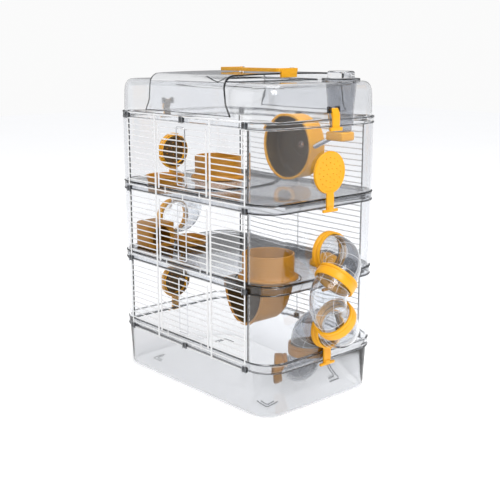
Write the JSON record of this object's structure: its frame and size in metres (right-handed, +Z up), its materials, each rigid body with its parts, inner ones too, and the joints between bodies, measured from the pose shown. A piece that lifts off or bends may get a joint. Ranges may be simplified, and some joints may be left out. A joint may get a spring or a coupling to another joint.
{
  "type": "hamster cage",
  "caption": "Stacked small-pet cage with a clear tray, end walls and roof, wire front and back with drop-down doors, an outside tube run, wheel, nest, bowls and bottle.",
  "frame": {"origin": "centre of the tray's flat underside", "axes": "+Z up, +X along the length toward the end with the outside tube run, -Y toward the front with the doors"},
  "size_m": [0.4995, 0.2738, 0.542],
  "materials": {
    "clear_plastic": "polished, transparent",
    "smoke_plastic": "polished, smoke tint",
    "amber_plastic": "satin moulded",
    "ochre_plastic": "satin moulded, slightly see-through",
    "plated_wire": "bright plated wire"
  },
  "bodies": {
    "cage": {"base_tray": "clear_plastic", "end_wall_left_lower": "clear_plastic", "end_wall_left_middle": "clear_plastic", "end_wall_left_upper": "clear_plastic", "end_wall_right_lower": "clear_plastic", "end_wall_right_middle": "clear_plastic", "end_wall_right_upper": "clear_plastic", "roof_hood": "clear_plastic", "tube_elbow_outer_middle": "clear_plastic", "tube_elbow_outer_low": "clear_plastic", "tube_elbow_left": "clear_plastic", "floor_middle": "smoke_plastic", "floor_upper": "smoke_plastic", "tube_elbow_outer_top": "smoke_plastic", "tube_elbow_inner_high": "smoke_plastic", "water_bottle": "smoke_plastic", "port_ring_right_middle": "amber_plastic", "port_ring_right_lower": "amber_plastic", "port_ring_left_middle": "amber_plastic", "tube_ring_outer_top": "amber_plastic", "tube_ring_outer_low": "amber_plastic", "wheel_bracket": "amber_plastic", "bottle_base": "amber_plastic", "dome_cover": "amber_plastic", "tube_ring_inner": "ochre_plastic", "nest": "ochre_plastic", "climbing_collar": "ochre_plastic", "corner_house": "ochre_plastic", "food_bowl_upper": "ochre_plastic", "food_bowl_middle": "ochre_plastic", "front_grille_left": "plated_wire", "front_grille_right": "plated_wire", "front_grille_bridge_1": "plated_wire", "front_grille_bridge_2": "plated_wire", "front_grille_bridge_3": "plated_wire", "front_grille_bridge_4": "plated_wire", "back_grille": "plated_wire", "wheel_axle": "plated_wire", "bottle_spout": "plated_wire"},
    "roof_lid": {"roof_lid": "clear_plastic"},
    "carry_handle": {"carry_handle": "amber_plastic"},
    "roof_strap_left": {"roof_strap_left": "amber_plastic"},
    "roof_strap_right": {"roof_strap_right": "amber_plastic"},
    "exercise_wheel": {"exercise_wheel": "amber_plastic"},
    "tube_mouth": {"tube_elbow_inner_low": "smoke_plastic", "tube_mouth_ring": "ochre_plastic"},
    "bottle_lid": {"bottle_lid": "clear_plastic"},
    "valve_ball": {"valve_ball": "plated_wire"},
    "door_lower": {"door_lower": "plated_wire"},
    "door_latch_lower": {"door_latch_lower": "plated_wire"},
    "door_middle": {"door_middle": "plated_wire"},
    "door_latch_middle": {"door_latch_middle": "plated_wire"},
    "door_upper": {"door_upper": "plated_wire"},
    "door_latch_upper": {"door_latch_upper": "plated_wire"},
    "port_cap_right_upper": {"port_cap_right_upper": "amber_plastic"},
    "port_cap_left_upper": {"port_cap_left_upper": "amber_plastic"},
    "port_cap_left_lower": {"port_cap_left_lower": "amber_plastic"}
  },
  "joints": [
    {"name": "door_lower_hinge", "type": "hinge", "parent": "cage", "child": "door_lower", "pos_m": [0, -0.132, 0.08669], "axis": [1, 0, 0], "range_deg": [0, 110]},
    {"name": "door_latch_lower_pivot", "type": "hinge", "parent": "door_lower", "child": "door_latch_lower", "pos_m": [0, -0.132, 0.19331], "axis": [-1, 0, 0], "range_deg": [0, 45]},
    {"name": "door_middle_hinge", "type": "hinge", "parent": "cage", "child": "door_middle", "pos_m": [0, -0.132, 0.21269], "axis": [1, 0, 0], "range_deg": [0, 110]},
    {"name": "door_latch_middle_pivot", "type": "hinge", "parent": "door_middle", "child": "door_latch_middle", "pos_m": [0, -0.132, 0.31931], "axis": [-1, 0, 0], "range_deg": [0, 45]},
    {"name": "door_upper_hinge", "type": "hinge", "parent": "cage", "child": "door_upper", "pos_m": [0, -0.132, 0.33869], "axis": [1, 0, 0], "range_deg": [0, 110]},
    {"name": "door_latch_upper_pivot", "type": "hinge", "parent": "door_upper", "child": "door_latch_upper", "pos_m": [0, -0.132, 0.44531], "axis": [-1, 0, 0], "range_deg": [0, 45]},
    {"name": "port_cap_right_upper_hinge", "type": "hinge", "parent": "cage", "child": "port_cap_right_upper", "pos_m": [0.205, 0, 0.325], "axis": [0, 1, 0], "range_deg": [0, 95]},
    {"name": "port_cap_left_upper_hinge", "type": "hinge", "parent": "cage", "child": "port_cap_left_upper", "pos_m": [-0.205, 0, 0.325], "axis": [0, -1, 0], "range_deg": [0, 95]},
    {"name": "port_cap_left_lower_hinge", "type": "hinge", "parent": "cage", "child": "port_cap_left_lower", "pos_m": [-0.205, 0, 0.073], "axis": [0, -1, 0], "range_deg": [0, 95]},
    {"name": "roof_strap_right_hinge", "type": "hinge", "parent": "cage", "child": "roof_strap_right", "pos_m": [0.2005, 0.01, 0.48], "axis": [0, -1, 0], "range_deg": [0, 110]},
    {"name": "roof_strap_left_hinge", "type": "hinge", "parent": "cage", "child": "roof_strap_left", "pos_m": [-0.2005, -0.01, 0.48], "axis": [0, 1, 0], "range_deg": [0, 110]},
    {"name": "roof_lid_hinge", "type": "hinge", "parent": "cage", "child": "roof_lid", "pos_m": [-0.087, 0, 0.53], "axis": [0, -1, 0], "range_deg": [0, 95]},
    {"name": "carry_handle_hinge", "type": "hinge", "parent": "roof_lid", "child": "carry_handle", "pos_m": [0.037, 0.018, 0.5386], "axis": [-1, 0, 0], "range_deg": [0, 90]},
    {"name": "exercise_wheel_spin", "type": "hinge", "parent": "cage", "child": "exercise_wheel", "pos_m": [0.04, 0.082, 0.408], "axis": [0, 1, 0], "continuous": true},
    {"name": "tube_mouth_swivel", "type": "hinge", "parent": "cage", "child": "tube_mouth", "pos_m": [0.16165, 0, 0.06], "axis": [0, 0, 1], "range_deg": [-40, 35]},
    {"name": "bottle_lid_lift", "type": "slide", "parent": "cage", "child": "bottle_lid", "axis": [0, 0, 1], "range_m": [0, 0.025]},
    {"name": "valve_ball_lift", "type": "slide", "parent": "cage", "child": "valve_ball", "axis": [0.9063, 0, 0.4226], "range_m": [0, 0.002]}
  ]
}
